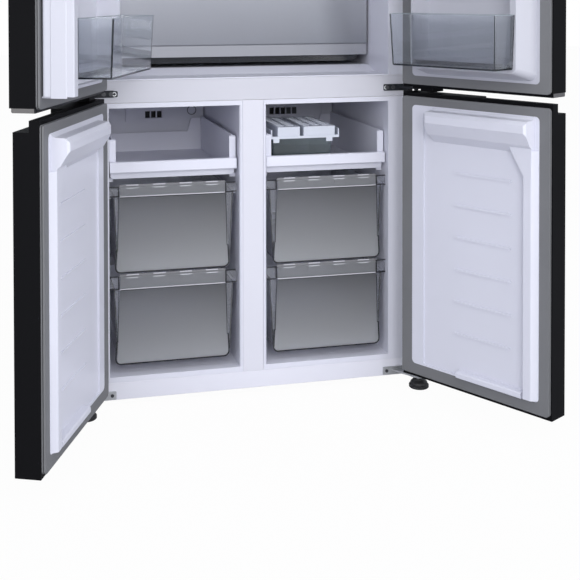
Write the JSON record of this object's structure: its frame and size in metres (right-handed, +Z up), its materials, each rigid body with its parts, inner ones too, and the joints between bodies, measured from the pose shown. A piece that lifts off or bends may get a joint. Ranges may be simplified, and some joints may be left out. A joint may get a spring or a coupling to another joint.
{
  "type": "multi-door refrigerator",
  "caption": "Bottom-freezer refrigerator with paired upper and lower doors standing open, pull-out freezer drawers and trays, door bins and a wide crisper drawer.",
  "frame": {"origin": "on the floor under the middle of the bounding box of the refrigerator with its doors at the rest angle", "axes": "+Z up, -Y out of the front of the cabinet, +X to the right as seen from the front"},
  "size_m": [1.1978, 1.0467, 1.82],
  "materials": {
    "cabinet_steel": "satin painted",
    "back_steel": "zinc coated, satin",
    "insulation": "rigid foam",
    "liner_white": "smooth moulded",
    "rail_white": "satin painted",
    "pan_steel": "coated",
    "roller_plastic": "moulded",
    "compressor_black": "gloss black paint",
    "rubber_black": "matte",
    "coil_steel": "black paint",
    "fan_plastic": "moulded",
    "pan_plastic": "moulded",
    "cover_plastic": "moulded",
    "duct_white": "moulded",
    "coil_aluminium": "bare fins",
    "shelf_glass": "clear tempered",
    "trim_silver": "moulded shelf trim",
    "lamp_lens": "frosted lens",
    "hinge_dark": "dark coated steel",
    "hinge_steel": "zinc plated",
    "screw_steel": "bright plated",
    "foot_plastic": "moulded",
    "hinge_cover": "moulded",
    "door_black": "dark satin coating on a steel skin",
    "gasket_gray": "soft vinyl",
    "door_trim": "brushed bar",
    "bin_clear": "clear moulded",
    "flap_white": "moulded",
    "tub_smoke": "smoked moulded",
    "crisper_front": "moulded",
    "tray_white": "moulded",
    "ice_white": "moulded"
  },
  "bodies": {
    "cabinet": {"outer_shell": "cabinet_steel", "back_panel": "back_steel", "cabinet_foam": "insulation", "fridge_liner": "liner_white", "freezer_liners": "liner_white", "cross_rail": "rail_white", "mullion_cover": "rail_white", "bottom_rail": "rail_white", "base_pan": "pan_steel", "compressor": "compressor_black", "compressor_mounts": "rubber_black", "condenser": "coil_steel", "fan_brackets": "fan_plastic", "drain_pan": "pan_plastic", "machine_cover": "cover_plastic", "freezer_duct_covers": "duct_white", "evaporator": "coil_aluminium", "fridge_duct_cover": "duct_white", "shelf_trims": "trim_silver", "shelf_glass": "shelf_glass", "control_housing": "duct_white", "lamp_cover": "lamp_lens", "mid_hinges": "hinge_dark", "bottom_hinges": "hinge_steel", "levelling_feet": "foot_plastic", "top_hinges": "hinge_dark", "hinge_covers": "hinge_cover", "hinge_screws": "screw_steel"},
    "condenser_fan_rotor": {"condenser_fan": "fan_plastic"},
    "evaporator_fan_rotor": {"evaporator_fan": "fan_plastic"},
    "roller_left": {"rear_roller_left": "roller_plastic"},
    "roller_right": {"rear_roller_right": "roller_plastic"},
    "centre_flap": {"flip_mullion": "flap_white"},
    "wide_drawer": {"crisper_tub": "tub_smoke", "crisper_front": "crisper_front"},
    "tray_left": {"freezer_tray_left": "tray_white"},
    "tray_right": {"freezer_tray_right": "tray_white", "ice_box": "tub_smoke", "ice_trays": "ice_white"},
    "lower_left_door": {"lower_door_left": "door_black", "lower_door_liner_left": "liner_white", "lower_door_gasket_left": "gasket_gray"},
    "upper_left_door": {"upper_door_left": "door_black", "upper_door_trim_left": "door_trim", "upper_door_liner_left": "liner_white", "upper_door_gasket_left": "gasket_gray", "door_bins_left": "bin_clear", "flap_hinges": "duct_white"},
    "upper_drawer_left": {"freezer_drawer_upper_left": "tub_smoke"},
    "lower_drawer_left": {"freezer_drawer_lower_left": "tub_smoke"},
    "lower_right_door": {"lower_door_right": "door_black", "lower_door_liner_right": "liner_white", "lower_door_gasket_right": "gasket_gray"},
    "upper_right_door": {"upper_door_right": "door_black", "upper_door_trim_right": "door_trim", "upper_door_liner_right": "liner_white", "upper_door_gasket_right": "gasket_gray", "door_bins_right": "bin_clear"},
    "upper_drawer_right": {"freezer_drawer_upper_right": "tub_smoke"},
    "lower_drawer_right": {"freezer_drawer_lower_right": "tub_smoke"}
  },
  "joints": [
    {"name": "lower_left_door_hinge", "type": "hinge", "parent": "cabinet", "child": "lower_left_door", "pos_m": [-0.422, -0.1144, 0.69], "axis": [0, 0, -1], "range_deg": [-113, 17]},
    {"name": "upper_left_door_hinge", "type": "hinge", "parent": "cabinet", "child": "upper_left_door", "pos_m": [-0.422, -0.1144, 1.29], "axis": [0, 0, -1], "range_deg": [-114, 16]},
    {"name": "lower_right_door_hinge", "type": "hinge", "parent": "cabinet", "child": "lower_right_door", "pos_m": [0.388, -0.1144, 0.69], "axis": [0, 0, 1], "range_deg": [-119.5, 10.5]},
    {"name": "upper_right_door_hinge", "type": "hinge", "parent": "cabinet", "child": "upper_right_door", "pos_m": [0.388, -0.1144, 1.29], "axis": [0, 0, 1], "range_deg": [-119.5, 10.5]},
    {"name": "centre_flap_hinge", "type": "hinge", "parent": "upper_left_door", "child": "centre_flap", "pos_m": [-0.5217, -0.49199, 1.258], "axis": [0, 0, 1], "range_deg": [-90, 0]},
    {"name": "wide_drawer_slide", "type": "slide", "parent": "cabinet", "child": "wide_drawer", "axis": [0, -1, 0], "range_m": [0, 0.25]},
    {"name": "tray_left_slide", "type": "slide", "parent": "cabinet", "child": "tray_left", "axis": [0, -1, 0], "range_m": [0, 0.36]},
    {"name": "upper_drawer_left_slide", "type": "slide", "parent": "cabinet", "child": "upper_drawer_left", "axis": [0, -1, 0], "range_m": [0, 0.36]},
    {"name": "lower_drawer_left_slide", "type": "slide", "parent": "cabinet", "child": "lower_drawer_left", "axis": [0, -1, 0], "range_m": [0, 0.26]},
    {"name": "tray_right_slide", "type": "slide", "parent": "cabinet", "child": "tray_right", "axis": [0, -1, 0], "range_m": [0, 0.36]},
    {"name": "upper_drawer_right_slide", "type": "slide", "parent": "cabinet", "child": "upper_drawer_right", "axis": [0, -1, 0], "range_m": [0, 0.36]},
    {"name": "lower_drawer_right_slide", "type": "slide", "parent": "cabinet", "child": "lower_drawer_right", "axis": [0, -1, 0], "range_m": [0, 0.26]},
    {"name": "roller_left_spin", "type": "hinge", "parent": "cabinet", "child": "roller_left", "pos_m": [-0.353, 0.4736, 0.017], "axis": [1, 0, 0], "continuous": true},
    {"name": "roller_right_spin", "type": "hinge", "parent": "cabinet", "child": "roller_right", "pos_m": [0.319, 0.4736, 0.017], "axis": [1, 0, 0], "continuous": true},
    {"name": "condenser_fan_spin", "type": "hinge", "parent": "cabinet", "child": "condenser_fan_rotor", "pos_m": [0.118, 0.4076, 0.1], "axis": [0, 1, 0], "continuous": true},
    {"name": "evaporator_fan_spin", "type": "hinge", "parent": "cabinet", "child": "evaporator_fan_rotor", "pos_m": [0.175, 0.4196, 0.535], "axis": [0, 1, 0], "continuous": true}
  ]
}
